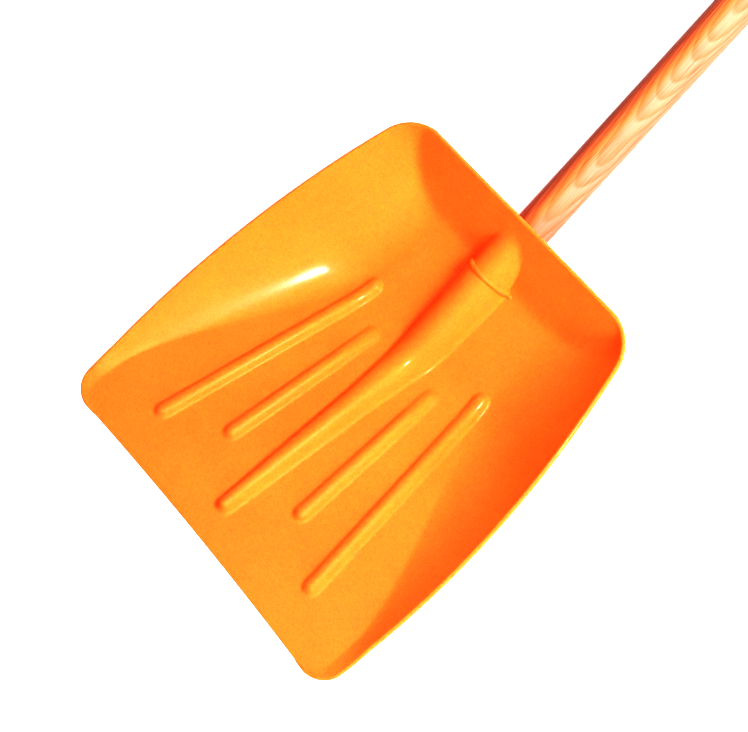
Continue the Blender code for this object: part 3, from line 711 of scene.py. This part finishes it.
# ---------------------------------------------------------------- materials
class Look:
    """A material in the making. Each method adds a node and returns its output, and takes constants
    or other nodes' outputs."""

    def __init__(self, name):
        self.material = bpy.data.materials.new(name)
        self.material.use_nodes = True
        self.tree = self.material.node_tree
        self.shader = self.tree.nodes["Principled BSDF"]
        self.place = self.tree.nodes.new("ShaderNodeTexCoord").outputs["Object"]

    def feed(self, node, inputs):
        """Sets a node's inputs, which are given by name or number."""
        for key, value in inputs.items():
            if isinstance(value, bpy.types.NodeSocket):
                self.tree.links.new(value, node.inputs[key])
            else:
                node.inputs[key].default_value = value

    def shade(self, inputs):
        self.feed(self.shader, inputs)

    def noise(self, vector, scale, detail, roughness=0.5):
        node = self.tree.nodes.new("ShaderNodeTexNoise")
        settings = {"Scale": scale, "Detail": detail, "Roughness": roughness}
        self.feed(node, {"Vector": vector, **settings})
        return node.outputs

    def mapped(self, vector, scale=(1, 1, 1), rotation=(0, 0, 0)):
        node = self.tree.nodes.new("ShaderNodeMapping")
        self.feed(node, {"Vector": vector, "Scale": scale, "Rotation": rotation})
        return node.outputs["Vector"]

    def ramp(self, value, stops):
        """A colour ramp. Each stop is a position and a colour, or a grey value."""
        node = self.tree.nodes.new("ShaderNodeValToRGB")
        elements = node.color_ramp.elements
        while len(elements) < len(stops):
            elements.new(0.5)
        for element, (position, colour) in zip(elements, stops):
            element.position = position
            colour = colour if isinstance(colour, tuple) else (colour, colour, colour)
            element.color = (*colour, 1.0)
        self.feed(node, {"Fac": value})
        return node.outputs["Color"]

    def maths(self, operation, *values, clamp=False):
        node = self.tree.nodes.new("ShaderNodeMath")
        node.operation = operation
        node.use_clamp = clamp
        self.feed(node, dict(enumerate(values)))
        return node.outputs["Value"]

    def product(self, first, second):
        """Two colours multiplied."""
        node = self.tree.nodes.new("ShaderNodeMix")
        node.data_type = "RGBA"
        node.blend_type = "MULTIPLY"
        self.feed(node, {"Factor": 1.0, 6: first, 7: second})
        return node.outputs[2]

    def parts(self, kind, source):
        """A vector's or a colour's three parts."""
        node = self.tree.nodes.new(f"ShaderNodeSeparate{kind}")
        self.feed(node, {0: source})
        return node.outputs

    def bump(self, height, strength, distance):
        node = self.tree.nodes.new("ShaderNodeBump")
        self.feed(node, {"Height": height, "Strength": strength, "Distance": distance})
        self.shade({"Normal": node.outputs["Normal"]})


# Wear roughens the plastic's film from world Y = -0.35 m towards the front, at -0.54 m. It adds this
# much for each metre of Y, and this where Y is 0, but never less than nothing.
WEAR_PER_METRE, WEAR_AT_ORIGIN = -2.4, -0.84


def plastic_material():
    """Orange polypropylene: a satin body that red light passes through, under a thin glossier film
    that is worn duller towards the scoop's front, with a fine mottle and lengthwise scuffs."""
    look = Look("orange_plastic")
    look.shade(
        {
            "IOR": 1.49,
            "Subsurface Weight": 0.6,
            "Subsurface Radius": (1.0, 0.09, 0.02),
            "Subsurface Scale": 0.007,
            "Specular Tint": (1.0, 0.80, 0.16, 1),
            "Coat Weight": 0.13,
        }
    )
    mottle = look.noise(look.place, 620.0, 2.0, 0.7)["Fac"]
    cloud = look.noise(look.place, 14.0, 3.0, 0.5)["Fac"]
    mixed = look.tree.nodes.new("ShaderNodeMix")
    look.feed(mixed, {"Factor": 0.22, "A": mottle, "B": cloud})
    tones = [(0.34, (0.82, 0.118, 0.017)), (0.66, (0.93, 0.170, 0.027))]
    look.shade({"Base Color": look.ramp(mixed.outputs["Result"], tones)})

    scuffs = look.noise(look.mapped(look.place, (260, 14, 60)), 1.0, 4.0, 0.6)["Fac"]
    look.shade({"Roughness": look.ramp(scuffs, [(0.35, 0.50), (0.62, 0.54), (0.80, 0.62)])})
    film = look.ramp(scuffs, [(0.35, 0.13), (0.62, 0.17), (0.80, 0.32)])
    along = look.parts("XYZ", look.place)["Y"]
    worn = look.maths("MULTIPLY_ADD", along, WEAR_PER_METRE, WEAR_AT_ORIGIN, clamp=True)
    look.shade({"Coat Roughness": look.maths("ADD", film, worn)})
    look.bump(look.noise(look.place, 420.0, 2.0)["Fac"], 0.10, 0.0002)
    return look.material


RING_WIDTH = 2 * MM
RING_WANDERS = 0.011
# Painted shade and light on the wood: the base colour turns redder and darker towards the flanks and
# paler along a lit band, by place across the piece.
PAINTED_SHADE_GROWTH = 14.0  # how fast the tone changes across the piece
PAINTED_SHADE_WANDERS = 0.10


def wood_material(name, turn, pith, painted_shade_side):
    """Oiled ash with its grain along Y once its coordinates are turned: growth rings round a pith
    that lies outside the piece and isn't quite parallel to it, fine fibres, and painted shade and
    light: a redder, darker tone towards the flanks, most towards one side, and a band paler than the
    wood's own colour where the light falls. The pith is its place across and up, then how far each
    moves along Y."""
    look = Look(name)
    lay = look.mapped(look.place, rotation=turn)
    place = look.parts("XYZ", lay)
    wander = look.noise(look.mapped(lay, (14, 7.0, 14)), 1.0, 2.0, 0.45)["Color"]
    waver = look.parts("Color", wander)

    def from_pith(along, own, tilt, wavering):
        line = look.maths("MULTIPLY_ADD", place["Y"], tilt, place[along])
        return look.maths("ADD", line, look.maths("MULTIPLY_ADD", wavering, RING_WANDERS, -own))

    across = from_pith("X", pith[0], pith[2], waver["Red"])
    upward = from_pith("Z", pith[1], pith[3], waver["Green"])
    squares = [look.maths("MULTIPLY", side, side) for side in (across, upward)]
    distance = look.maths("SQRT", look.maths("ADD", *squares))
    ring = look.maths("FRACT", look.maths("MULTIPLY", distance, 1 / RING_WIDTH))
    early = (0.400, 0.120, 0.056)
    ring_tones = [
        (0.0, early),
        (0.20, (0.410, 0.132, 0.068)),
        (0.50, (0.430, 0.158, 0.092)),
        (0.85, (0.440, 0.171, 0.105)),
        (1.0, early),
    ]
    fibre = look.noise(look.mapped(lay, (1500, 26, 1500)), 1.0, 3.0, 0.6)["Fac"]
    streak = look.ramp(fibre, [(0.32, 0.62), (0.50, 1.0), (0.75, 1.12)])
    grain = look.product(look.ramp(ring, ring_tones), streak)

    # Painted shade and light: redder, darker flanks and a band brighter than the wood's own colour
    # where the light falls, laid out by X across the piece.
    painted_shade_tones = [
        (0.330, (0.82, 0.44, 0.40)),
        (0.405, (0.95, 0.58, 0.44)),
        (0.462, (0.94, 0.80, 0.48)),
        (0.514, (0.97, 0.92, 0.50)),
        (0.562, (1.0, 1.0, 0.82)),
        (0.607, (1.0, 1.05, 1.08)),
        (0.686, (1.0, 0.94, 0.96)),
        (0.738, (1.0, 0.72, 0.70)),
    ]
    middle = 0.5 - PAINTED_SHADE_GROWTH * painted_shade_side
    shift = look.maths("MULTIPLY_ADD", place["X"], PAINTED_SHADE_GROWTH, middle)
    shift = look.maths("ADD", shift, -PAINTED_SHADE_WANDERS / 2)
    painted_shade = look.maths("MULTIPLY_ADD", waver["Blue"], PAINTED_SHADE_WANDERS, shift)
    look.shade(
        {
            "Base Color": look.product(grain, look.ramp(painted_shade, painted_shade_tones)),
            "Roughness": look.ramp(fibre, [(0.3, 0.62), (0.7, 0.42)]),
            "Specular IOR Level": 0.1,
        }
    )
    look.bump(fibre, 0.25, 0.0002)
    return look.material


def steel_material():
    """Zinc-plated steel with a patchy sheen."""
    look = Look("zinc_steel")
    patches = look.noise(look.place, 320.0, 3.0, 0.6)["Fac"]
    look.shade(
        {
            "Metallic": 1.0,
            "Base Color": look.ramp(patches, [(0.3, (0.42, 0.43, 0.45)), (0.7, (0.62, 0.62, 0.63))]),
            "Roughness": look.ramp(patches, [(0.3, 0.26), (0.7, 0.46)]),
        }
    )
    look.bump(patches, 0.15, 0.0001)
    return look.material


def floor_material():
    """A pale matt sheet that glows faintly, so that it stays white round the object."""
    look = Look("floor")
    mottle = look.noise(look.place, 3.0, 4.0, 0.6)["Fac"]
    tones = [(0.3, (0.925, 0.925, 0.922)), (0.7, (0.955, 0.955, 0.955))]
    look.shade(
        {
            "Base Color": look.ramp(mottle, tones),
            "Roughness": 0.9,
            "Emission Color": (1.0, 1.0, 1.0, 1),
            "Emission Strength": 0.4,
        }
    )
    look.bump(look.noise(look.place, 900.0, 3.0, 0.6)["Fac"], 0.15, 0.0002)
    return look.material


# ---------------------------------------------------------------- light, floor and camera
FLOOR_SIZE, FLOOR_BELOW = 15.0, 0.2 * MM
# The camera's lens in millimetres, its place in the blade frame and its turn in degrees.
LENS, CAMERA_PLACE, CAMERA_TURN = 93.5, (0.5817, -0.0623, 1.5393), (22.33, 6.03, 51.08)
SCOOP_MIDDLE = (0, 0.19, 0)
SURROUND = 0.46
# Name, azimuth and elevation in degrees seen from the scoop, distance, size and watts.
SOFTBOXES = [
    ("key", 36, 50, 1.4, 0.5, 35),
    ("low", -25, 15, 1.4, 0.5, 16.5),
]
FLASH_PLACE, FLASH_SIZE, FLASH_WATTS = (0.10, 0, 0), 0.05, 27  # its place is seen from the camera


def make_area_light(name, at, target, size, power):
    light = bpy.data.lights.new(name, "AREA")
    light.shape = "DISK"
    light.size = size
    light.energy = power
    made = link_object(name, light)
    made.location = at
    made.rotation_euler = (target - at).to_track_quat("-Z", "Y").to_euler()
    return made


def make_stage():
    bm = bmesh.new()
    bmesh.ops.create_grid(bm, x_segments=1, y_segments=1, size=FLOOR_SIZE)
    floor = link_object("floor", mesh_from(bm, "floor"))
    floor.location.z = -FLOOR_BELOW
    floor.data.materials.append(floor_material())


def make_camera():
    camera = bpy.data.cameras.new("camera")
    camera.sensor_width = 36
    camera.lens = LENS
    camera.clip_start, camera.clip_end = 0.05, 50
    made = link_object("camera", camera)
    turn = Euler([math.radians(a) for a in CAMERA_TURN]).to_matrix().to_4x4()
    made.matrix_world = BLADE_FRAME @ Matrix.Translation(CAMERA_PLACE) @ turn
    bpy.context.scene.camera = made


def make_light():
    """A dim white surround, two softboxes to the scoop's right that no piece mirrors, and a small
    flash by the camera that makes the highlights and lights nothing else."""
    world = bpy.data.worlds.new("world")
    bpy.context.scene.world = world
    world.use_nodes = True
    world.node_tree.nodes["Background"].inputs["Color"].default_value = (1, 1, 1, 1)
    world.node_tree.nodes["Background"].inputs["Strength"].default_value = SURROUND
    middle = BLADE_FRAME @ Vector(SCOOP_MIDDLE)
    for name, azimuth, elevation, distance, size, power in SOFTBOXES:
        flat = math.cos(math.radians(elevation))
        side, ahead = math.cos(math.radians(azimuth)), math.sin(math.radians(azimuth))
        direction = Vector((flat * side, flat * ahead, math.sin(math.radians(elevation))))
        light_at = middle + BLADE_FRAME.to_3x3() @ direction * distance
        make_area_light(name, light_at, middle, size, power).visible_glossy = False
    camera = bpy.context.scene.camera.matrix_world
    flash_at = camera.translation + camera.to_3x3() @ Vector(FLASH_PLACE)
    flash = make_area_light("flash", flash_at, middle, FLASH_SIZE, FLASH_WATTS)
    flash.visible_diffuse = False


# ---------------------------------------------------------------- the scene
bpy.context.scene.view_settings.view_transform = "Standard"
bpy.context.scene.view_settings.look = "Very High Contrast"
plastic, steel = plastic_material(), steel_material()
# The last argument places each wood piece's painted shade and light across it.
shaft_wood = wood_material("ash_shaft", (0, 0, 0), (-0.0054, 0.0067, 0.033, 0.060), 0.0)
bar_wood = wood_material("ash_bar", (0, 0, math.pi / 2), (-0.45, -0.030, 0.02, 0.05), -0.528)
pieces = [
    (make_blade(), "blade", "orange_plastic", plastic),
    (make_shaft(), "shaft", "ash_wood", shaft_wood),
    (make_yoke(), "grip_yoke", "orange_plastic", plastic),
    (make_bar(), "grip_bar", "ash_wood", bar_wood),
    (make_rod(), "grip_rod", "zinc_steel", steel),
    (make_washer("rod_washer_left", -1), "rod_washer_left", "zinc_steel", steel),
    (make_washer("rod_washer_right", 1), "rod_washer_right", "zinc_steel", steel),
] + [(make_screw(name), name, "zinc_steel", steel) for name in SCREWS]
for piece, node, slot, look in pieces:
    piece.name = f"fine_{node}"
    piece.data.materials.clear()
    piece.data.materials.append(look)
    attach(piece, BODY)
    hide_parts(node)

make_stage()
make_camera()
bpy.context.view_layer.update()
make_light()
